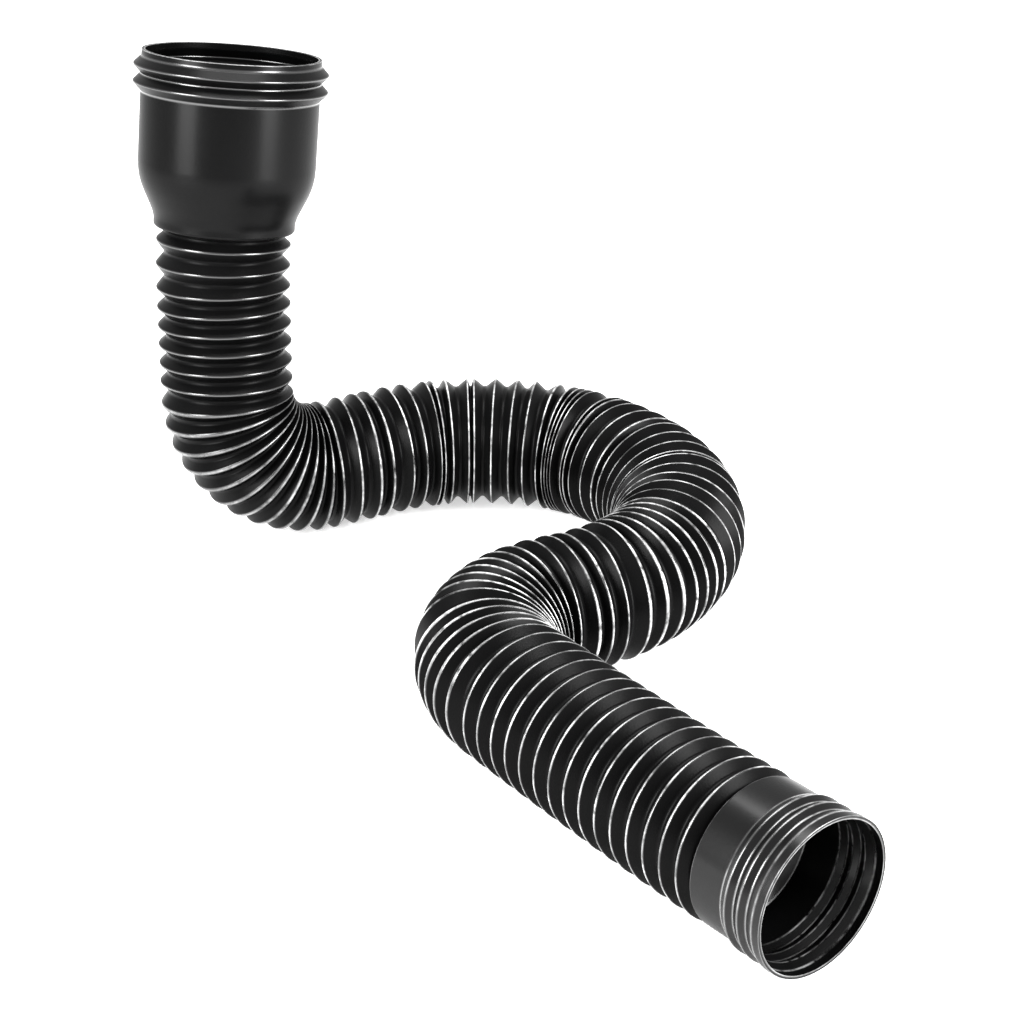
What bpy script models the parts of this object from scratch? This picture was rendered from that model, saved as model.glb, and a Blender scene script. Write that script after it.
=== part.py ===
# Flexible downspout extension
#
# One blow-moulded piece of black polypropylene. A wide cup at the top slips over the
# end of a round downspout. Below the cup the same thin wall is thrown into sharp V
# folds, the bellows, which has been bent by hand into an elbow, a long sweep and a
# hook, and which keeps that set. It ends in a plain cuff with two small ribs.
#
# Lengths are in metres and angles in degrees. The floor is z = 0, the outlet points
# along -Y, and the origin is on the floor under the middle of the whole object.

import math

import bpy
import mathutils
import numpy as np

# Facets round the tube, and the spacing of the points on the centreline
FACETS = 14
WALK = 0.004

# Bellows section: radius of the crests, length of a flank from root to crest, and the
# radial step between the skins
CREST_RADIUS = 0.0420
FLANK = 0.0093
FOLD_WALL = 0.0012

# Inlet cup, with depths measured down from its rim
CUP_RADIUS = 0.0549
CUP_WALL = 0.0020
CUP_LENGTH = 0.1100
RIB_HEIGHT = 0.0052
RIB_WIDTH = 0.0105
LIP_DEPTH = 0.0040
SHOULDER_DEPTH = 0.0770
SHOULDER_ROUND = 0.0060
SHOULDER_DROP = 0.0015
THROAT_DEPTH = 0.1000
THROAT_RADIUS = 0.0440
THROAT_END = 0.1070

# Outlet cuff, with distances measured back from its rim
CUFF_LENGTH = 0.0520
CUFF_RADIUS = 0.0412
CUFF_WALL = 0.0018
CUFF_RIM_RADIUS = 0.0433
CUFF_RIB_HEIGHT = 0.0022
CUFF_RIB_WIDTH = 0.0085
CUFF_LIP = 0.0105
CUFF_BEVEL = 0.0052
CUFF_START = 0.0030

# Pitch from one crest to the next where the folds stand as moulded, are pulled open, share
# in a bend, and are pushed shut. All are shared out so that the folds fill the bellows.
EVEN_PITCH = 0.0122
OPEN_PITCH = 0.0142
BENT_PITCH = 0.0088
SHUT_PITCH = 0.0043

# How the folds stand from the cup to the cuff, with a letter from each crest to the next:
# e as moulded, o open, b bent, s shut
NECK_FOLDS = "ooeeeeee"
ELBOW_FOLDS = "bbbbbbbbbb"
LEAD_FOLDS = "boeboeo"
SWEEP_FOLDS = "sbosooeobsssosboobooosooeoobbbbbb"
BACK_FOLDS = "oebee"
HOOK_FOLDS = "bbbbbbebbbb"
RUN_FOLDS = "eeeeeeeeeeeeeee"

# The upright part: the neck leans a little, and the cup is set over a little more
NECK_LENGTH = 0.1030
NECK_LEAN = 7.6
NECK_LEAN_TOWARDS = 56.1
CUP_SET = 4.8
CUP_SET_TOWARDS = -20.9
CUP_SET_LENGTH = 0.040

# The elbow at the floor, then the stretches of the centreline on the floor.
# A positive turn goes to the left for water running down to the outlet.
ELBOW_RADIUS = 0.0586
LEAD_LENGTH, LEAD_TURN = 0.041, 6.2
SWEEP_IN_LENGTH, SWEEP_IN_TURN = 0.111, -47.3
SWEEP_LENGTH, SWEEP_TURN = 0.251, -121.9
SWEEP_OUT_LENGTH, SWEEP_OUT_TURN = 0.054, -21.1
HOOK_LENGTH, HOOK_TURN = 0.114, 103.1
RUN_LENGTH, RUN_TURN = 0.2445, 2.9
EASE = 0.024

# The outlet points along -Y
OUTLET_HEADING = -90.0

# Length of the last run over which the larger cuff lifts the tube off its crests
LIFT_LENGTH = 0.120


def heading_vector(degrees):
    """Unit vector on the floor at an angle from +X towards +Y."""
    a = np.radians(degrees)
    return np.stack([np.cos(a), np.sin(a), 0.0 * a], axis=-1)


def lean_vector(lean, towards):
    """Sideways shift per unit of height of a line that leans over by an angle."""
    return math.tan(math.radians(lean)) * heading_vector(np.array(towards))


def unit(v):
    """The vectors of an array, each scaled to length one."""
    return v / np.linalg.norm(v, axis=-1, keepdims=True)


def floor_headings(s):
    """Heading at each distance along the floor part.

    The curvature is turn over length in each stretch, and passes to the next
    stretch's over the length EASE. The heading is its running sum, shifted so
    that the last one is the outlet's.
    """
    lengths = [LEAD_LENGTH, SWEEP_IN_LENGTH, SWEEP_LENGTH, SWEEP_OUT_LENGTH, HOOK_LENGTH, RUN_LENGTH]
    turns = [LEAD_TURN, SWEEP_IN_TURN, SWEEP_TURN, SWEEP_OUT_TURN, HOOK_TURN, RUN_TURN]
    bends = [turn / length for turn, length in zip(turns, lengths)]
    starts = np.cumsum([0.0] + lengths[:-1])
    curvature = np.full_like(s, bends[0])
    for start, before, after in zip(starts[1:], bends[:-1], bends[1:]):
        curvature += (after - before) * np.clip((s - start) / EASE + 0.5, 0.0, 1.0)
    steps = 0.5 * (curvature[1:] + curvature[:-1]) * np.diff(s)
    heading = np.concatenate([[0.0], np.cumsum(steps)])
    return heading - heading[-1] + OUTLET_HEADING


def add_up(directions, step):
    """Places reached by walking along directions a step apart, from the origin."""
    middles = 0.5 * (directions[1:] + directions[:-1]) * step
    return np.concatenate([np.zeros((1, 3)), np.cumsum(middles, axis=0)])


def samples(length):
    """Distances from 0 to a length, about WALK apart, and their exact spacing."""
    count = max(2, int(round(length / WALK)) + 1)
    return np.linspace(0.0, length, count), length / (count - 1)


def centreline():
    """Points from the inlet's rim to the outlet's rim, in order."""
    floor_length = (LEAD_LENGTH + SWEEP_IN_LENGTH + SWEEP_LENGTH + SWEEP_OUT_LENGTH
                    + HOOK_LENGTH + RUN_LENGTH)
    s_floor, step_floor = samples(floor_length)
    floor = heading_vector(floor_headings(s_floor))

    # Upright part, from the cup's rim down: the cup's own set fades out along the neck
    s_up, step_up = samples(CUP_LENGTH + NECK_LENGTH)
    share = np.clip(1.0 - (s_up - CUP_LENGTH) / CUP_SET_LENGTH, 0.0, 1.0)[:, None]
    up = (np.array([0.0, 0.0, 1.0]) + lean_vector(NECK_LEAN, NECK_LEAN_TOWARDS)
          + share * lean_vector(CUP_SET, CUP_SET_TOWARDS))
    down = -unit(up)

    # Elbow: an even turn from the neck's direction to the first one on the floor
    start, end = down[-1], floor[0]
    angle = math.acos(float(start @ end))
    side = unit(end - (end @ start) * start)
    s_elbow, step_elbow = samples(ELBOW_RADIUS * angle)
    turn = (s_elbow / ELBOW_RADIUS)[:, None]
    elbow = np.cos(turn) * start + np.sin(turn) * side

    parts = [add_up(down, step_up), add_up(elbow, step_elbow), add_up(floor, step_floor)]
    points = parts[0]
    for part in parts[1:]:
        points = np.concatenate([points, points[-1] + part[1:]])

    # The floor part lies a crest's radius up, and rises to the cuff's at its end
    to_end = (floor_length - s_floor) / LIFT_LENGTH
    rise = np.clip(1.0 - to_end, 0.0, 1.0)
    rise = rise * rise * (3.0 - 2.0 * rise) * (cuff_reach() - CREST_RADIUS)
    points[-len(rise):, 2] += rise
    points[:, 2] += CREST_RADIUS - points[-len(rise), 2]
    return points


def cuff_reach():
    """Largest radius on the outlet cuff, which is what it lies on."""
    return max(CUFF_RIM_RADIUS, CUFF_RADIUS + CUFF_RIB_HEIGHT)


def ribs(base, height, start, width):
    """Radius and distance of two V ribs side by side, from their first foot to their last."""
    feet = [(base, start + i * width) for i in range(3)]
    tops = [(base + height, start + (i + 0.5) * width) for i in range(2)]
    return [feet[0], tops[0], feet[1], tops[1], feet[2]]


def cup_section():
    """Outer radius against depth below the rim, from the rim to the bellows."""
    return [
        (CUP_RADIUS, 0.0),
        *ribs(CUP_RADIUS, RIB_HEIGHT, LIP_DEPTH, RIB_WIDTH),
        (CUP_RADIUS, SHOULDER_DEPTH),
        (CUP_RADIUS - SHOULDER_DROP, SHOULDER_DEPTH + SHOULDER_ROUND),
        (THROAT_RADIUS, THROAT_DEPTH),
        (THROAT_RADIUS, THROAT_END),
    ]


def cuff_section():
    """Outer radius against distance back from the outlet's rim, from the bellows to the rim."""
    return [
        (CUFF_RADIUS, CUFF_LENGTH - CUFF_START),
        *reversed(ribs(CUFF_RADIUS, CUFF_RIB_HEIGHT, CUFF_LIP, CUFF_RIB_WIDTH)),
        (CUFF_RIM_RADIUS, CUFF_BEVEL),
        (CUFF_RIM_RADIUS, 0.0),
    ]


def fold_gaps(length):
    """Gap before each crest of a bellows, and the one after its last crest.

    The first and the last gap lie half in the bellows, which starts and ends at a root.
    """
    pitch = {"e": EVEN_PITCH, "o": OPEN_PITCH, "b": BENT_PITCH, "s": SHUT_PITCH}
    letters = (NECK_FOLDS + ELBOW_FOLDS + LEAD_FOLDS + SWEEP_FOLDS + BACK_FOLDS
               + HOOK_FOLDS + RUN_FOLDS)
    between = [pitch[letter] for letter in letters]
    gaps = np.array([EVEN_PITCH, *between, EVEN_PITCH])
    return gaps * length / (sum(between) + EVEN_PITCH)


def root_radius(gap):
    """Radius at the root between two crests: the flanks keep their length, so a fold
    pulled open is shallower and one pushed shut is deeper."""
    return CREST_RADIUS - np.sqrt(np.maximum(FLANK**2 - (0.5 * gap)**2, 0.0))


def section(total):
    """Closed section of the wall as (radius, height above the outlet's rim).

    It runs down the outer skin and back up the inner one.
    """
    outer = [(r, total - depth, CUP_WALL) for r, depth in cup_section()]
    gaps = fold_gaps(total - CUP_LENGTH - CUFF_LENGTH)
    crests = total - CUP_LENGTH - (np.cumsum(gaps[:-1]) - 0.5 * gaps[0])
    for gap, crest in zip(gaps, crests):
        outer.append((root_radius(gap), crest + 0.5 * gap, FOLD_WALL))
        outer.append((CREST_RADIUS, crest, FOLD_WALL))
    outer.append((root_radius(gaps[-1]), crests[-1] - 0.5 * gaps[-1], FOLD_WALL))
    outer += [(r, z, CUFF_WALL) for r, z in cuff_section()]
    inner = [(r - wall, z) for r, z, wall in reversed(outer)]
    return [(r, z) for r, z, wall in outer] + inner


def clear_scene():
    """Empty the file of the objects it opens with."""
    for ob in list(bpy.data.objects):
        bpy.data.objects.remove(ob)


def black_plastic():
    """Black polypropylene with a satin moulded skin."""
    material = bpy.data.materials.new("black_plastic")
    material.use_nodes = True
    shader = material.node_tree.nodes["Principled BSDF"]
    shader.inputs["Base Color"].default_value = (0.022, 0.022, 0.023, 1.0)
    shader.inputs["Roughness"].default_value = 0.42
    shader.inputs["Metallic"].default_value = 0.0
    return material


def guide_curve(points, collection):
    """The centreline as a hidden curve, from the outlet up to the inlet.

    Half a facet of tilt puts a corner of each ring, not a flat, on the floor.
    """
    curve = bpy.data.curves.new("centreline", "CURVE")
    curve.dimensions = "3D"
    spline = curve.splines.new("POLY")
    spline.points.add(len(points) - 1)
    for point, place in zip(spline.points, points[::-1]):
        point.co = (*place, 1.0)
        point.tilt = math.pi / FACETS
    guide = bpy.data.objects.new("centreline", curve)
    guide.hide_render = True
    guide.display_type = "WIRE"
    collection.objects.link(guide)
    return guide


def build():
    """Turn the wall's section about its axis and lay the tube along the centreline."""
    clear_scene()
    collection = bpy.data.collections.new("Flexible downspout extension")
    bpy.context.scene.collection.children.link(collection)

    points = centreline()
    total = float(np.linalg.norm(np.diff(points, axis=0), axis=1).sum())
    profile = section(total)

    mesh = bpy.data.meshes.new("downspout_extension")
    verts = [(r, 0.0, z) for r, z in profile]
    edges = [(i, (i + 1) % len(verts)) for i in range(len(verts))]
    mesh.from_pydata(verts, edges, [])
    tube = bpy.data.objects.new("downspout_extension", mesh)
    collection.objects.link(tube)
    mesh.materials.append(black_plastic())

    turned = tube.modifiers.new("Turn the section", "SCREW")
    turned.axis = "Z"
    turned.steps = FACETS
    turned.render_steps = FACETS
    turned.use_merge_vertices = True
    turned.merge_threshold = 0.00001
    turned.use_smooth_shade = False

    laid = tube.modifiers.new("Lay along the centreline", "CURVE")
    laid.object = guide_curve(points, collection)
    laid_curve = laid.object.data
    laid.deform_axis = "POS_Z"

    graph = bpy.context.evaluated_depsgraph_get()
    solid = bpy.data.meshes.new_from_object(tube.evaluated_get(graph))
    tube.modifiers.clear()
    tube.data = solid

    # Set the whole down on the floor, with the origin under its middle
    places = np.array([v.co for v in solid.vertices])
    low, high = places.min(axis=0), places.max(axis=0)
    middle = mathutils.Vector((0.5 * (low[0] + high[0]), 0.5 * (low[1] + high[1]), low[2]))
    move = mathutils.Matrix.Translation(-middle)
    solid.transform(move)
    laid_curve.transform(move)

    solid.name = "downspout_extension"
    solid.shade_smooth()
    solid.set_sharp_from_angle(angle=math.radians(30.0))
    return tube


build()
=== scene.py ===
# %% [markdown]
# Flexible downspout extension
#
# The object is one blow-moulded tube of black polypropylene. A wide cup slips over the
# end of a round downspout, and the folded wall below it, the bellows, has been bent by
# hand into an elbow, a long sweep and a hook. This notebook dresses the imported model:
# it loads that model as a fixed frame, works out the same tube as a fine surface with
# numpy, gives it a moulded black finish and lights it like a studio picture.

# %% Load the frame
import math

import bpy
import mathutils
import numpy as np
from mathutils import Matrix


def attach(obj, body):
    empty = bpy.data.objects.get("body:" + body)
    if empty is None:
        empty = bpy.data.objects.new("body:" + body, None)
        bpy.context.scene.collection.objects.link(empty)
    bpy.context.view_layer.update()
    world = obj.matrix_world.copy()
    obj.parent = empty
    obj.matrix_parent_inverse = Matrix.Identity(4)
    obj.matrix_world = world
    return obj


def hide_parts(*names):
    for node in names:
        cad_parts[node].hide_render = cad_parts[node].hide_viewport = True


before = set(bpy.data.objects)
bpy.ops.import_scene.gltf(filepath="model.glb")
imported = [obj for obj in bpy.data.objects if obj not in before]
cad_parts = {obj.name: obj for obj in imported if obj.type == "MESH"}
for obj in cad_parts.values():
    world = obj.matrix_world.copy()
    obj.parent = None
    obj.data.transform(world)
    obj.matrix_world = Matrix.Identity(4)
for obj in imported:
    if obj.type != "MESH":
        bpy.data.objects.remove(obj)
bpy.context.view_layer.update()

# %% [markdown]
# The camera stands where the photographer stood: a little above the cup, looking down
# at the sweep. Its place comes from fitting the outline and the fold lines. A lens in
# pixels becomes Blender's lens in millimetres by the ratio of sensor to picture width.

# %% Camera
PICTURE = 1024
FOCAL_PIXELS = 2355.6
CAMERA_PLACE = (-0.8303, -0.9365, 0.6987)
CAMERA_HEADING = 50.315
CAMERA_PITCH = 26.148
CAMERA_ROLL = 1.028
SENSOR = 36.0


def camera_axes(heading, pitch, roll):
    """Right, up and backward axes of a camera.

    The view runs along the heading and dips by the pitch. The roll turns right
    towards up.
    """
    h, p, r = np.radians([heading, pitch, roll])
    forward = np.array([np.cos(h) * np.cos(p), np.sin(h) * np.cos(p), -np.sin(p)])
    flat_right = np.array([np.sin(h), -np.cos(h), 0.0])
    flat_up = np.cross(flat_right, forward)
    right = np.cos(r) * flat_right + np.sin(r) * flat_up
    up = np.cos(r) * flat_up - np.sin(r) * flat_right
    return right, up, -forward


camera_data = bpy.data.cameras.new("camera")
camera_data.sensor_width = SENSOR
camera_data.lens = FOCAL_PIXELS / PICTURE * SENSOR
camera = bpy.data.objects.new("camera", camera_data)
axes = np.column_stack(camera_axes(CAMERA_HEADING, CAMERA_PITCH, CAMERA_ROLL))
turn_of_camera = mathutils.Matrix(axes.tolist()).to_4x4()
camera.matrix_world = mathutils.Matrix.Translation(CAMERA_PLACE) @ turn_of_camera
bpy.context.scene.collection.objects.link(camera)
bpy.context.scene.camera = camera
print("lens", round(camera_data.lens, 2), "mm")

# %% [markdown]
# The centreline is the heart of the tube. It could be drawn as a curve by eye, but the
# tube is bent by hand in a few plain turns, so a list of lengths and turns says it
# better. Walking along it and adding up small steps gives the points. The helpers of
# that walk come first.

# %% Steps along a line
STEP = 0.001


def heading_vector(degrees):
    """Unit vector on the floor at an angle from +X towards +Y."""
    a = np.radians(degrees)
    return np.stack([np.cos(a), np.sin(a), 0.0 * a], axis=-1)


def unit(v):
    """The vectors of an array, each scaled to length one."""
    return v / np.linalg.norm(v, axis=-1, keepdims=True)


def eased(t):
    """A share from 0 to 1 with a soft start and end: t squared times three less 2 t."""
    return t * t * (3.0 - 2.0 * t)


def even(length):
    """Distances from 0 to a length, about STEP apart."""
    return np.linspace(0.0, length, int(round(length / STEP)) + 1)


def walk(directions, s):
    """Places reached by adding up the mean direction of each step times its length."""
    steps = 0.5 * (directions[1:] + directions[:-1]) * np.diff(s)[:, None]
    return np.concatenate([np.zeros((1, 3)), np.cumsum(steps, axis=0)])


print("steps of", 1000 * STEP, "mm")

# %% [markdown]
# The cup and the neck hang down from the rim. The whole leans over a little, and the cup
# is set askew on the neck, a second lean that fades out over the first folds. Both are
# given as a sideways shift for each unit of height, so they simply add up.

# %% Down through the cup and the neck
CUP_LENGTH = 0.110
NECK_LENGTH = 0.103
NECK_LEAN, NECK_LEAN_TOWARDS = 7.6, 56.1
CUP_SET, CUP_SET_TOWARDS, CUP_SET_LENGTH = 4.8, -20.9, 0.040


def lean(angle, towards):
    """Sideways shift per unit of height of a line that leans over by an angle."""
    return math.tan(math.radians(angle)) * heading_vector(np.array(towards))


s_up = even(CUP_LENGTH + NECK_LENGTH)
fade = np.clip(1.0 - (s_up - CUP_LENGTH) / CUP_SET_LENGTH, 0.0, 1.0)[:, None]
up = np.array([0.0, 0.0, 1.0]) + lean(NECK_LEAN, NECK_LEAN_TOWARDS)
down = -unit(up + fade * lean(CUP_SET, CUP_SET_TOWARDS))
print("down at the rim", down[0].round(3), "and above the elbow", down[-1].round(3))

# %% [markdown]
# On the floor the tube makes a lead, a sweep to the right that starts gently, a short
# way back, a hook to the left and a last run. Each stretch has a length in metres and a
# turn in degrees, positive to the left. A bellows can't change its bend at once, so the
# curvature eases from one stretch into the next.

# %% Headings over the floor
FLOOR_STRETCHES = [
    (0.041, 6.2),
    (0.111, -47.3),
    (0.251, -121.9),
    (0.054, -21.1),
    (0.114, 103.1),
    (0.2445, 2.9),
]
EASE = 0.024
OUTLET_HEADING = -90.0


def floor_headings(s):
    """Heading at each distance along the floor.

    The curvature is turn over length in each stretch, passes evenly into the next
    one's over the length EASE, and is added up. The last heading is the outlet's.
    """
    lengths = np.array([length for length, turn in FLOOR_STRETCHES])
    bends = np.array([turn for length, turn in FLOOR_STRETCHES]) / lengths
    starts = np.cumsum(lengths)[:-1]
    ramps = np.clip((s[:, None] - starts) / EASE + 0.5, 0.0, 1.0)
    curvature = bends[0] + ramps @ np.diff(bends)
    turns = np.cumsum(0.5 * (curvature[1:] + curvature[:-1]) * np.diff(s))
    heading = np.concatenate([[0.0], turns])
    return heading - heading[-1] + OUTLET_HEADING


floor_length = sum(length for length, turn in FLOOR_STRETCHES)
s_floor = even(floor_length)
along_floor = heading_vector(floor_headings(s_floor))
print("floor part", round(floor_length, 4), "m, starting along", along_floor[0].round(3))

# %% [markdown]
# The elbow joins the two parts. It is an arc in the plane of the neck's last direction
# and the floor part's first one, which is how a bellows bends when nothing twists it.
# The tube then lies on its crests, and near the outlet it rises by what the cuff's
# wider rim needs.

# %% Elbow and the whole centreline
ELBOW_RADIUS = 0.0586
LIFT_LENGTH = 0.120
INLET_PLACE = np.array([-0.06335, 0.26286, 0.31340])
CREST_RADIUS = 0.0420
CUFF_REACH = 0.0434

elbow_angle = math.acos(float(down[-1] @ along_floor[0]))
elbow_side = unit(along_floor[0] - (along_floor[0] @ down[-1]) * down[-1])
s_elbow = even(ELBOW_RADIUS * elbow_angle)
turned = (s_elbow / ELBOW_RADIUS)[:, None]
round_elbow = np.cos(turned) * down[-1] + np.sin(turned) * elbow_side

path = walk(down, s_up)
path = np.concatenate([path, path[-1] + walk(round_elbow, s_elbow)[1:]])
path = np.concatenate([path, path[-1] + walk(along_floor, s_floor)[1:]])
rise = np.clip(1.0 - (floor_length - s_floor) / LIFT_LENGTH, 0.0, 1.0)
path[-len(rise):, 2] += eased(rise) * (CUFF_REACH - CREST_RADIUS)
path += INLET_PLACE - path[0]
path[:, 2] += CREST_RADIUS - path[-len(rise), 2]
path_s = np.concatenate([[0.0], np.cumsum(np.linalg.norm(np.diff(path, axis=0), axis=1))])
TOTAL = path_s[-1]
print("elbow", round(math.degrees(elbow_angle), 1), "degrees")
print("centreline", round(TOTAL, 4), "m, outlet at", path[-1].round(4))

# %% [markdown]
# A surface carried along a path needs two directions across it at every point. The
# usual frame of a curve flips where the bend changes side. Here one direction is kept
# level on the floor and square to the elbow's plane above it, with a smooth change
# between the two, so the mesh lines run along the tube without a twist.

# %% Directions across the tube
SWAP_LENGTH = 0.060

tangent = unit(np.gradient(path, axis=0))
level = np.cross(np.array([0.0, 0.0, 1.0]), tangent)
elbow_normal = unit(np.cross(down[-1], along_floor[0]))
start_of_floor = CUP_LENGTH + NECK_LENGTH + s_elbow[-1]
swap = eased(np.clip((path_s - start_of_floor) / SWAP_LENGTH, 0.0, 1.0)[:, None])
same_side = np.sign(elbow_normal @ level[np.searchsorted(path_s, start_of_floor)])
towards = (1.0 - swap) * same_side * elbow_normal + swap * level
across = unit(towards - (towards * tangent).sum(axis=1, keepdims=True) * tangent)
over = np.cross(tangent, across)


def on_path(values, s):
    """Values given along the path, read off at the distances s."""
    return np.stack([np.interp(s, path_s, values[:, k]) for k in range(3)], axis=-1)


print("across the outlet", across[-1].round(3), "and over it", over[-1].round(3))

# %% [markdown]
# The wall's section is a radius for each distance along the tube. In the bellows it
# swings between a narrow crest and a wider root. The flanks are stiff and keep their
# length, so a fold that is pulled open gets shallow and one that is pushed shut gets
# deep. In the photograph the folds stand unevenly: some are wide open and straight, and
# between them bunches of two to five are pushed shut. A letter for each gap says so:
# e as moulded, o pulled open, b bent, s pushed shut.

# %% How the folds stand
FLANK = 0.0093
GAPS = {"e": 0.0122, "o": 0.0142, "b": 0.0088, "s": 0.0043}
NECK = "ooeeeeee"
ELBOW = "bbbbbbbbbb"
LEAD = "boeboeo"
SWEEP = "sbosooeobsssosboobooosooeoobbbbbb"
BACK = "oebee"
HOOK = "bbbbbbebbbb"
RUN = "eeeeeeeeeeeeeee"
CUFF_LENGTH = 0.0520


def fold_gaps(letters, length):
    """Gaps between crests, scaled to fill a length that starts and ends with half a gap."""
    gaps = np.array([GAPS[letter] for letter in "e" + letters + "e"])
    return gaps * length / (gaps.sum() - GAPS["e"])


def root_radius(gap):
    """Radius between two crests: crest radius less the height of the flank's triangle."""
    return CREST_RADIUS - np.sqrt(FLANK**2 - (0.5 * gap) ** 2)


bellows_length = TOTAL - CUP_LENGTH - CUFF_LENGTH
gaps = fold_gaps(NECK + ELBOW + LEAD + SWEEP + BACK + HOOK + RUN, bellows_length)
crests = CUP_LENGTH + np.cumsum(gaps[:-1]) - 0.5 * gaps[0]
narrowest, widest = (1000 * gaps.min()).round(1), (1000 * gaps.max()).round(1)
print(len(crests), "crests, gaps", narrowest, "to", widest, "mm")

# %% [markdown]
# Each fold has a crest and a root rounded as arcs, with a flat flank between them. Blow
# moulding leaves such a wall: the plastic is drawn into a narrow groove of the mould and
# cannot fill its corner. Five rows of points make each arc, and a flank runs straight
# from the last row of one to the first row of the next. The arc of the crest is rubbed
# glossy, fully along its middle.

# %% One fold
CREST_ROUND, ROOT_ROUND = 0.0012, 0.0024
MOST_OF_HALF = 0.29
ARC_TURNS = np.array([0.0, 0.5, 1.0])
ARC_GLOSS = [1.0, 0.5, 0.0]


def half_fold(gap):
    """Offsets from the crest, radii and gloss of the rows on one side of a fold.

    The flank falls at an angle whose tangent is the fold's depth over half its gap. The
    crest is an arc that turns from level to that angle, and so is the root. An arc
    reaches its radius times the sine of its turn along the tube, and its radius times
    one less the cosine across it.
    """
    half = (0.5 * gap)[:, None]
    slope = (CREST_RADIUS - root_radius(gap))[:, None] / half
    angle = np.arctan(slope)
    crest = np.minimum(CREST_ROUND, MOST_OF_HALF * half / np.sin(angle))
    root = np.minimum(ROOT_ROUND, MOST_OF_HALF * half / np.sin(angle))
    turn = angle * ARC_TURNS
    crest_x = crest * np.sin(turn)
    crest_r = CREST_RADIUS - crest * (1.0 - np.cos(turn))
    root_x = (half - root * np.sin(turn))[:, ::-1]
    flank_end = crest_r[:, 2:] - slope * (root_x[:, :1] - crest_x[:, 2:])
    root_r = flank_end - root * (np.cos(turn[:, ::-1]) - np.cos(angle))
    gloss = np.tile(ARC_GLOSS + [0.0] * len(ARC_GLOSS), (len(gap), 1))
    return np.hstack([crest_x, root_x]), np.hstack([crest_r, root_r]), gloss


# Rows of every fold: up to the crest on the inlet side, then from it to the next root
before = [rows[:, :0:-1] for rows in half_fold(gaps[:-1])]
after = [rows[:, :-1] for rows in half_fold(gaps[1:])]
fold_s = (crests[:, None] + np.concatenate([-before[0], after[0]], axis=1)).ravel()
fold_r = np.concatenate([before[1], after[1]], axis=1).ravel()
fold_gloss = np.concatenate([before[2], after[2]], axis=1).ravel()
ROWS = before[0].shape[1] + after[0].shape[1]
print(ROWS, "rows in each fold, radii", fold_r.min().round(4), "to", fold_r.max().round(4))

# %% [markdown]
# The cup and the cuff are turned shapes with a few corners, so each is drawn as a line
# of points. A Bevel modifier could round them later, but not each corner by its own
# size, so the line itself is softened. The outer corners of ribs and rims are rubbed,
# as the crests are, and carry gloss.

# %% Rounded corners and ribs
CORNER_STEPS = 4
MOST_OF_SIDE = 0.45


def softened(points):
    """A polyline with each inner corner replaced by a short arc-like blend.

    Each point holds a distance, a radius, how far from it the corner is rounded and its
    gloss. The corner becomes points of the quadratic curve between the two places at
    that distance from it, and the gloss rises evenly to the middle of the curve.
    """
    p = np.array(points, dtype=float)
    before, corner, after = p[:-2, :2], p[1:-1, :2], p[2:, :2]
    back, ahead = before - corner, after - corner
    reach_back = np.minimum(p[1:-1, 2] / np.linalg.norm(back, axis=1), MOST_OF_SIDE)
    reach_ahead = np.minimum(p[1:-1, 2] / np.linalg.norm(ahead, axis=1), MOST_OF_SIDE)
    a, b = corner + back * reach_back[:, None], corner + ahead * reach_ahead[:, None]
    t = np.linspace(0.0, 1.0, CORNER_STEPS + 1)[None, :, None]
    arcs = (1 - t) ** 2 * a[:, None] + 2 * t * (1 - t) * corner[:, None] + t**2 * b[:, None]
    gloss = (1.0 - np.abs(2.0 * t - 1.0)) * p[1:-1, 3][:, None, None]
    rows = np.concatenate([arcs, gloss], axis=2).reshape(-1, 3)
    return np.concatenate([p[:1, [0, 1, 3]], rows, p[-1:, [0, 1, 3]]])


def ribs(base, height, start, width, rounding):
    """Two V ribs side by side, from first foot to last, each corner with full gloss."""
    feet = [(start + i * width, base, rounding, 1.0) for i in range(3)]
    tops = [(start + (i + 0.5) * width, base + height, rounding, 1.0) for i in range(2)]
    return [feet[0], tops[0], feet[1], tops[1], feet[2]]


print("a corner becomes", CORNER_STEPS + 1, "rows")

# %% [markdown]
# The cup slips over the downspout. Two hollow V ribs below its lip stiffen the mouth,
# and a soft shoulder narrows it to the throat, where the first fold begins.

# %% Section of the cup
CUP_RADIUS, CUP_WALL, CUP_GLOSS = 0.0549, 0.0020, 0.024
RIB_HEIGHT, RIB_WIDTH, RIB_ROUND = 0.0052, 0.0105, 0.0012
LIP_DEPTH, RIM_ROUND = 0.0040, 0.0006
SHOULDER_DEPTH, SHOULDER_ROUND = 0.0770, 0.0100
THROAT_DEPTH, THROAT_RADIUS, THROAT_ROUND = 0.1000, 0.0440, 0.0060
THROAT_END, THROAT_END_ROUND = 0.1070, 0.0015

cup_line = [
    (0.0, CUP_RADIUS - 0.5 * CUP_WALL, 0.0, 0.0),
    (0.0, CUP_RADIUS, RIM_ROUND, 1.0),
    *ribs(CUP_RADIUS, RIB_HEIGHT, LIP_DEPTH, RIB_WIDTH, RIB_ROUND),
    (SHOULDER_DEPTH, CUP_RADIUS, SHOULDER_ROUND, 0.0),
    (THROAT_DEPTH, THROAT_RADIUS, THROAT_ROUND, 0.0),
    (THROAT_END, THROAT_RADIUS, THROAT_END_ROUND, 0.0),
    (CUP_LENGTH, root_radius(gaps[0]), 0.0, 0.0),
]
cup_rows = softened(cup_line)
cup_rows[:, 2] = np.maximum(cup_rows[:, 2], CUP_GLOSS)
print("cup", len(cup_rows), "rows, widest", cup_rows[:, 1].max().round(4))

# %% [markdown]
# The cuff takes the next pipe or lies open. It is plain where it leaves the folds, and
# then has two low ribs, a bevel and a rim. Its line is measured back from the outlet and
# turned into distances along the tube.

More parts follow.
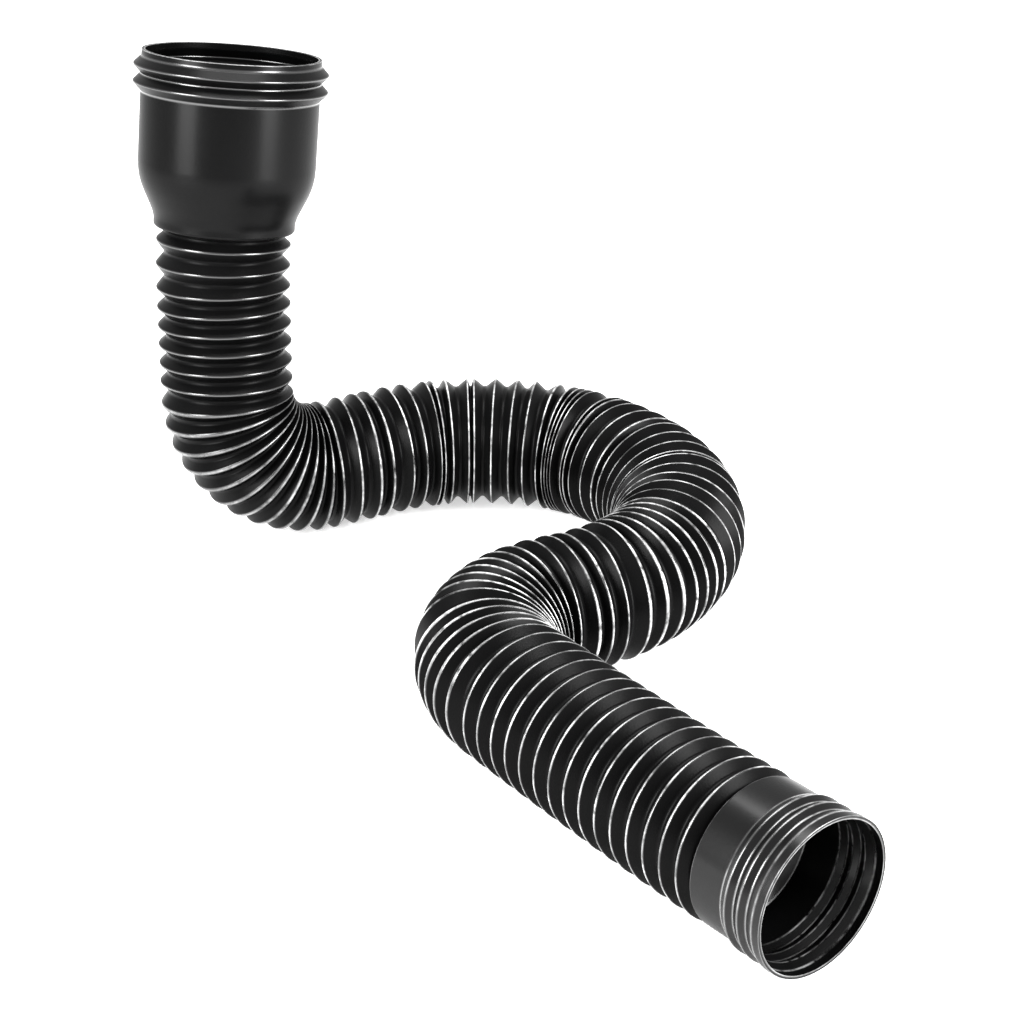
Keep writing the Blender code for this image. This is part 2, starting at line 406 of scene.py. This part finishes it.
# %% Section of the cuff
CUFF_RADIUS, CUFF_WALL, CUFF_GLOSS = 0.0412, 0.0018, 0.12
CUFF_RIB_HEIGHT, CUFF_RIB_WIDTH, CUFF_RIB_ROUND = 0.0022, 0.0085, 0.0010
CUFF_LIP, CUFF_RIM_RADIUS = 0.0105, 0.0433
CUFF_BEVEL, CUFF_BEVEL_ROUND = 0.0052, 0.0012
CUFF_START, CUFF_START_ROUND, CUFF_START_GLOSS = 0.0030, 0.0008, 0.8

cuff_line = [
    (CUFF_LENGTH, root_radius(gaps[-1]), 0.0, 0.0),
    (CUFF_LENGTH - CUFF_START, CUFF_RADIUS, CUFF_START_ROUND, CUFF_START_GLOSS),
    *reversed(ribs(CUFF_RADIUS, CUFF_RIB_HEIGHT, CUFF_LIP, CUFF_RIB_WIDTH, CUFF_RIB_ROUND)),
    (CUFF_BEVEL, CUFF_RIM_RADIUS, CUFF_BEVEL_ROUND, 1.0),
    (0.0, CUFF_RIM_RADIUS, RIM_ROUND, 1.0),
    (0.0, CUFF_RIM_RADIUS - 0.5 * CUFF_WALL, 0.0, 0.0),
]
cuff_rows = softened([(TOTAL - back, *rest) for back, *rest in cuff_line])
cuff_rows[:, 2] = np.maximum(cuff_rows[:, 2], CUFF_GLOSS)
print("cuff", len(cuff_rows), "rows, widest", cuff_rows[:, 1].max().round(4))

# %% [markdown]
# The three parts in a row make the outer skin. The inner skin lies one wall inside it
# and is seen only at its ends, so it keeps just the crest and the root of each fold and
# leaves out the rims' rounding. One loop down the outside and back up the inside closes
# the wall at both rims and makes it a solid of real thickness.

# %% Rows from rim to rim and back
FOLD_WALL = 0.0012
BORE_GLOSS = 0.08
RIM_ROWS = 3

fold_rows = np.stack([fold_s, fold_r, fold_gloss], axis=1)
outer_s, outer_r, outer_gloss = np.concatenate([cup_rows[:-1], fold_rows, cuff_rows]).T
counts = [len(cup_rows) - 1, len(fold_rows), len(cuff_rows)]
outer_wall = np.repeat([CUP_WALL, FOLD_WALL, CUFF_WALL], counts)
inner = np.concatenate([
    np.arange(counts[0]) >= RIM_ROWS,
    np.tile(np.isin(np.arange(ROWS), [0, ROWS // 2]), len(crests)),
    np.arange(counts[2])[::-1] >= RIM_ROWS,
])
inner_gloss = np.where(outer_wall == FOLD_WALL, BORE_GLOSS, outer_gloss)[inner]

all_s = np.concatenate([outer_s, outer_s[inner][::-1]])
all_r = np.concatenate([outer_r, (outer_r - outer_wall)[inner][::-1]])
all_gloss = np.concatenate([outer_gloss, inner_gloss[::-1]])
print("rows outside", len(outer_s), "and inside", len(all_s) - len(outer_s))

# %% [markdown]
# Where folds are pushed shut on one side only, the next rings stand askew: the bends are
# not shared out evenly but in small kinks. The slant is given at some places along the
# tube, in degrees towards the left of the flow, as the crest lines in the photograph
# show it.

# %% Slant of the rings
SLANTS = [
    (0.290, 0), (0.326, -9), (0.348, -8), (0.380, -1), (0.405, -5), (0.431, -1),
    (0.468, 7), (0.495, -2), (0.525, -8), (0.560, 3), (0.610, 2), (0.640, -7),
    (0.668, 0), (0.705, 2), (0.731, -6), (0.758, 6), (0.790, -2), (0.833, -8),
    (0.850, -1), (0.878, -7), (0.895, -2), (1.050, 0),
]
slant_s, slant_turn = np.array(SLANTS).T
slant_tangent = np.tan(np.radians(slant_turn))
print("slants from", slant_turn.min(), "to", slant_turn.max(), "degrees")

# %% [markdown]
# The tube is now a grid: one row for each point of the section and one column for each
# direction round the tube. A Screw modifier could turn the section, but it can't slant
# single rings, so the grid's points are worked out in one go. The volume inside it tells
# whether the faces point outwards.

# %% The tube as a grid
COLUMNS = 78


def ring_grid(s, r, columns=COLUMNS):
    """Points of the surface at distances s with radii r.

    Place on the centreline plus radius times a direction across the tube that goes
    once round for the columns. A slanted ring's left side stands back by its offset to
    the left times the tangent of the slant.
    """
    angle = np.linspace(0.0, 2.0 * np.pi, columns, endpoint=False)
    slant = np.interp(s, slant_s, slant_tangent)
    place = s[:, None] - (r * slant)[:, None] * np.cos(angle)
    side, top, centre = on_path(across, place), on_path(over, place), on_path(path, place)
    outward = side * np.cos(angle)[None, :, None] + top * np.sin(angle)[None, :, None]
    return centre + r[:, None, None] * outward


def loop_faces(rows, columns):
    """Quads of a grid that is closed both round its columns and from last row to first."""
    i = np.arange(rows)[:, None]
    j = np.arange(columns)[None, :]
    i2, j2 = (i + 1) % rows, (j + 1) % columns
    corners = [i * columns + j, i * columns + j2, i2 * columns + j2, i2 * columns + j]
    return np.stack(corners, axis=-1).reshape(-1, 4)


def signed_volume(points, quads):
    """Volume inside a closed surface, positive where its faces point outwards.

    It is the sum over triangles of the product of one corner with the cross product
    of the two others, over six.
    """
    a, b, c, d = (points[quads[:, k]] for k in range(4))
    both = np.cross(b, c) + np.cross(c, d)
    return float((a * both).sum() / 6.0)


points = ring_grid(all_s, all_r).reshape(-1, 3)
faces = loop_faces(len(all_s), COLUMNS)
print("triangles", 2 * len(faces), "volume", round(1e6 * signed_volume(points, faces), 1), "cm3")
print("box", points.min(0).round(4), points.max(0).round(4))

# %% [markdown]
# The base colour is painted pale along the edge of each crest and on the corners of ribs
# and rims: a painted highlight that stands for the thin bright line of a glint. It is
# faint on the upright neck, stronger where the tube lies on the ground, and strongest on
# the sweep and the hook. Along a strip on top of the last run, given by its angle round
# the tube, most of it is taken away again, as painted shade. The bore's folds get none.
# An image could hold all this, but a number at each point follows the folds exactly.

# %% Where the crests get a painted highlight
PAINTED_HIGHLIGHT_ALONG = [
    (0.000, 0.60), (0.003, 0.10), (0.110, 0.10), (0.190, 0.16),
    (0.240, 0.55), (0.320, 1.05), (0.520, 1.05), (0.580, 1.50), (0.680, 1.50), (0.730, 1.05),
    (0.780, 1.05), (0.820, 1.35), (0.870, 1.35), (0.910, 1.00), (1.070, 1.00), (1.072, 0.45),
]
LAST_RUN = (0.860, 1.072)
# Painted shade: a strip of the last run where the painted highlight is mostly taken away
HIGHLIGHT_GAP_ANGLE, HIGHLIGHT_GAP_WIDTH, HIGHLIGHT_GAP_DEPTH = 97.0, 17.0, 0.85

# The painted highlight follows each row's gloss; the cup's and cuff's inner corners get it, the
# bore's folds none
inner_painted_highlight = np.where(outer_wall == FOLD_WALL, 0.0, outer_gloss)[inner]
all_painted_highlight = np.concatenate([outer_gloss, inner_painted_highlight[::-1]])
all_painted_highlight *= np.interp(all_s, *np.array(PAINTED_HIGHLIGHT_ALONG).T)

# The strip is a bell curve of the angle, and takes its depth of the painted highlight away, as
# painted shade
round_tube = np.linspace(0.0, 360.0, COLUMNS, endpoint=False)
highlight_gap = HIGHLIGHT_GAP_DEPTH * np.exp(-(((round_tube - HIGHLIGHT_GAP_ANGLE) / HIGHLIGHT_GAP_WIDTH) ** 2))
in_last_run = (all_s > LAST_RUN[0]) & (all_s < LAST_RUN[1])
painted_highlight_grid = all_painted_highlight[:, None] * (1.0 - in_last_run[:, None] * highlight_gap)
gloss_grid = np.repeat(all_gloss[:, None], COLUMNS, axis=1)
print("highlight_painted most", painted_highlight_grid.max().round(2), "and over the whole", painted_highlight_grid.mean().round(3))

# %% [markdown]
# The grid becomes a mesh with gloss and the painted highlight as attributes of its points.
# Smooth shading alone would bend the light on the flat flanks. The weighted-normal
# modifier keeps them flat and leaves the turn of the shading to the narrow arcs, which
# is what makes a crest glint as a thin line.

# %% Mesh of the tube
SHARP_ANGLE = 75.0

tube_mesh = bpy.data.meshes.new("tube")
tube_mesh.from_pydata(points.tolist(), [], faces.tolist())
# The second attribute holds the painted highlight along the crests' edges
for name, values in {"gloss": gloss_grid, "painted_highlight": painted_highlight_grid}.items():
    layer = tube_mesh.attributes.new(name, "FLOAT", "POINT")
    layer.data.foreach_set("value", values.ravel().astype(np.float32))
tube_mesh.shade_smooth()
tube_mesh.set_sharp_from_angle(angle=math.radians(SHARP_ANGLE))
tube = bpy.data.objects.new("black_tube", tube_mesh)
bpy.context.scene.collection.objects.link(tube)
even_flanks = tube.modifiers.new("flat flanks", "WEIGHTED_NORMAL")
even_flanks.mode = "FACE_AREA"
even_flanks.keep_sharp = True
print("mesh", len(tube_mesh.vertices), "points and", len(tube_mesh.polygons), "faces")

# %% [markdown]
# Shader maths reads best as plain expressions, so a small class wraps a socket and
# adds Math nodes when it is added to or multiplied. Every other node comes from one
# method that takes its type, its settings and the values or links of its sockets.

# %% Node helper


class Wire:
    """A socket of a material that can be used in sums and products."""

    def __init__(self, nodes, socket):
        self.nodes, self.socket = nodes, socket

    def _math(self, operation, a, b):
        return self.nodes.add("ShaderNodeMath", {"operation": operation}, {0: a, 1: b})

    def __add__(self, other):
        return self._math("ADD", self, other)

    def __radd__(self, other):
        return self._math("ADD", other, self)

    def __sub__(self, other):
        return self._math("SUBTRACT", self, other)

    def __rsub__(self, other):
        return self._math("SUBTRACT", other, self)

    def __mul__(self, other):
        return self._math("MULTIPLY", self, other)

    def __rmul__(self, other):
        return self._math("MULTIPLY", other, self)


class Nodes:
    """The node tree of a material or world, with one method that adds any node."""

    def __init__(self, owner):
        owner.use_nodes = True
        self.tree = owner.node_tree
        self.tree.nodes.clear()

    def put(self, socket, value):
        """Link a wire to a socket, or set the socket's own value."""
        if isinstance(value, Wire):
            self.tree.links.new(value.socket, socket)
        else:
            socket.default_value = value

    def add(self, kind, settings=None, inputs=None, output=0):
        """Add a node, set it, feed its inputs and give back one output as a wire."""
        node = self.tree.nodes.new(kind)
        for name, value in (settings or {}).items():
            setattr(node, name, value)
        for key, value in (inputs or {}).items():
            self.put(node.inputs[key], value)
        return Wire(self, node.outputs[output]) if len(node.outputs) else node

    def clamped(self, value):
        """A value kept between 0 and 1."""
        return self.add("ShaderNodeClamp", inputs={"Value": value})


# %% [markdown]
# Black polypropylene out of a steel mould has a dull satin skin that reflects little.
# The crests are another matter: they are rubbed smooth by packing and by hands, so they
# carry a glossy coat that gives each fold its thin bright line. Up close the skin has a
# faint orange-peel from the mould's blasting and slow waves where the wall cooled
# unevenly. Along each crest's edge the base colour is also painted pale, a painted
# highlight for the bright line of a glint, and three noises of different size break it
# up into patches and short dashes.

# %% Black plastic
DARK, PALE = (0.0010, 0.0010, 0.0010, 1.0), (0.0032, 0.0032, 0.0033, 1.0)
# Colour of the painted highlight along the crests' edges
PAINTED_HIGHLIGHT_COLOUR = (0.88, 0.88, 0.88, 1.0)
PAINTED_HIGHLIGHT_ABOVE = 0.15
SKIN_ROUGHNESS, ROUGHNESS_SWING = 0.34, 0.10
SKIN_SPECULAR = 0.045
COAT_ROUGHNESS, COAT_IOR = 0.23, 2.0
PEEL_STRENGTH, PEEL_DEPTH = 0.12, 0.0004

# Scale and detail of each noise
SLOW, LIVELY, SHORT, PEEL = (22.0, 2.0), (55.0, 3.0), (230.0, 1.0), (900.0, 1.0)
# How much of the painted highlight each leaves: its level, its contrast and the noise's middle
BY_SLOW, BY_LIVELY, BY_SHORT = (0.75, 2.2, 0.50), (0.42, 3.4, 0.47), (0.80, 3.5, 0.48)


def noise(n, place, scale, detail):
    """A cloudy value between 0 and 1 at each place."""
    return n.add("ShaderNodeTexNoise", inputs={"Vector": place, "Scale": scale, "Detail": detail})


def at_point(n, name):
    """The value of an attribute of the mesh."""
    return n.add("ShaderNodeAttribute", {"attribute_name": name}, output="Fac")


def blend(n, share, a, b):
    """Colour a where the share is 0, colour b where it is 1."""
    return n.add("ShaderNodeMix", {"data_type": "RGBA"}, {0: share, 6: a, 7: b}, output=2)


def left_by(n, cloud, level, contrast, middle):
    """The level plus the contrast times what the cloud is above its middle, clamped."""
    return n.clamped(level + contrast * (cloud - middle))


def black_plastic():
    """Near-black skin with slow variation and fine bump, a gloss coat on the crests and a painted
    highlight along their edges.
    """
    material = bpy.data.materials.new("black_plastic")
    n = Nodes(material)
    place = n.add("ShaderNodeTexCoord", output="Object")
    slow, lively = noise(n, place, *SLOW), noise(n, place, *LIVELY)
    short, peel = noise(n, place, *SHORT), noise(n, place, *PEEL)
    # Three noises break the painted highlight into patches and short dashes
    highlight_breakup = left_by(n, lively, *BY_LIVELY) * left_by(n, slow, *BY_SLOW)
    highlight_breakup = highlight_breakup * left_by(n, short, *BY_SHORT)
    # Painted highlight: the base colour turns pale along the crests' edges, where their glint
    # falls
    painted_highlight_share = (at_point(n, "painted_highlight") - PAINTED_HIGHLIGHT_ABOVE) * (1.0 / (1.0 - PAINTED_HIGHLIGHT_ABOVE))
    skin = blend(n, slow, DARK, PALE)
    bump = {"Strength": PEEL_STRENGTH, "Distance": PEEL_DEPTH, "Height": peel}
    shader = n.add(
        "ShaderNodeBsdfPrincipled",
        inputs={
            "Base Color": blend(n, n.clamped(painted_highlight_share) * highlight_breakup, skin, PAINTED_HIGHLIGHT_COLOUR),
            "Roughness": SKIN_ROUGHNESS + ROUGHNESS_SWING * (slow - 0.5),
            "Specular IOR Level": SKIN_SPECULAR,
            "Coat Weight": at_point(n, "gloss"),
            "Coat Roughness": COAT_ROUGHNESS,
            "Coat IOR": COAT_IOR,
            "Normal": n.add("ShaderNodeBump", inputs=bump),
        },
    )
    n.add("ShaderNodeOutputMaterial", inputs={"Surface": shader})
    print("black plastic", len(n.tree.nodes), "nodes")
    return material


tube_mesh.materials.append(black_plastic())
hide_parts("downspout_extension")
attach(tube, "root")

# %% [markdown]
# The picture was taken on white. A white world would wash out a black object, so it is
# fully white only to the camera, off gloss and through glass, and dimmer as a light.

# %% White surroundings
WHITE = (1.0, 1.0, 1.0, 1.0)
WORLD_LIGHT = 0.45


def looking_rays(n):
    """1 for rays from the camera, off gloss and through glass, and 0 for rays of light."""
    camera_ray = n.add("ShaderNodeLightPath", output="Is Camera Ray")
    outputs = camera_ray.socket.node.outputs
    glossy, through = Wire(n, outputs["Is Glossy Ray"]), Wire(n, outputs["Is Transmission Ray"])
    return n.clamped(camera_ray + glossy + through)


world = bpy.data.worlds.new("studio")
bpy.context.scene.world = world
n = Nodes(world)
strength = WORLD_LIGHT + (1.0 - WORLD_LIGHT) * looking_rays(n)
sky = n.add("ShaderNodeBackground", inputs={"Color": WHITE, "Strength": strength})
n.add("ShaderNodeOutputWorld", inputs={"Surface": sky})
print("world light", WORLD_LIGHT)

# %% [markdown]
# Two tall boxes of light stand to the left and right of the camera. Each shows as an
# upright band on the cup, and the right one also as a soft patch on the last run. They
# stand low, because an upright wall mirrors what is at its own height. A broad box
# hangs above, a little behind the tube, and lights it from the top.

# %% Lamps
VIEW_FROM = CAMERA_HEADING + 180.0
AIM = (0.0, 0.1, 0.15)
# Name, heading and distance from the aim, height, width, tallness and power
LAMPS = [
    ("left box", VIEW_FROM - 53.0, 1.6, 0.75, 0.70, 1.1, 56.0),
    ("right box", VIEW_FROM + 58.0, 1.6, 0.68, 0.70, 1.3, 72.0),
    ("top box", VIEW_FROM + 180.0, 0.35, 1.9, 1.4, 1.0, 50.0),
]


def lamp(name, heading, distance, height, width, tall, power):
    """An area lamp at a heading from the aim, turned towards it."""
    data = bpy.data.lights.new(name, "AREA")
    data.shape = "RECTANGLE"
    data.size, data.size_y = width, tall
    data.energy = power
    away = mathutils.Vector(heading_vector(np.array(heading)).tolist())
    place = mathutils.Vector(AIM) + away * distance
    place.z = height
    look = mathutils.Vector(AIM) - place
    aimed = look.to_track_quat("-Z", "Y").to_matrix().to_4x4()
    ob = bpy.data.objects.new(name, data)
    ob.matrix_world = mathutils.Matrix.Translation(place) @ aimed
    bpy.context.scene.collection.objects.link(ob)
    print(name, "at", [round(x, 2) for x in place])


for values in LAMPS:
    lamp(*values)

# %% [markdown]
# The floor is a wide plain sheet. A glow that only looking rays see makes it white in
# the picture, and because it lights nothing, the tube's soft shadow stays.

# %% Floor
FLOOR_HALF = 6.0
FLOOR_COLOUR = (0.86, 0.86, 0.86, 1.0)
FLOOR_GLOW = 0.60

floor_mesh = bpy.data.meshes.new("floor")
signs = [(-1, -1), (1, -1), (1, 1), (-1, 1)]
corners = [(x * FLOOR_HALF, y * FLOOR_HALF, 0.0) for x, y in signs]
floor_mesh.from_pydata(corners, [], [(0, 1, 2, 3)])
floor = bpy.data.objects.new("floor", floor_mesh)
bpy.context.scene.collection.objects.link(floor)
floor_material = bpy.data.materials.new("floor")
n = Nodes(floor_material)
matt = n.add("ShaderNodeBsdfDiffuse", inputs={"Color": FLOOR_COLOUR})
glow = n.add("ShaderNodeEmission", inputs={"Strength": FLOOR_GLOW * looking_rays(n)})
both = n.add("ShaderNodeAddShader", inputs={0: matt, 1: glow})
n.add("ShaderNodeOutputMaterial", inputs={"Surface": both})
floor_mesh.materials.append(floor_material)
print("floor", 2 * FLOOR_HALF, "m wide")

# %% [markdown]
# The colours are shown as they are computed, with no film look laid over them.

# %% Colour
bpy.context.scene.view_settings.view_transform = "Standard"
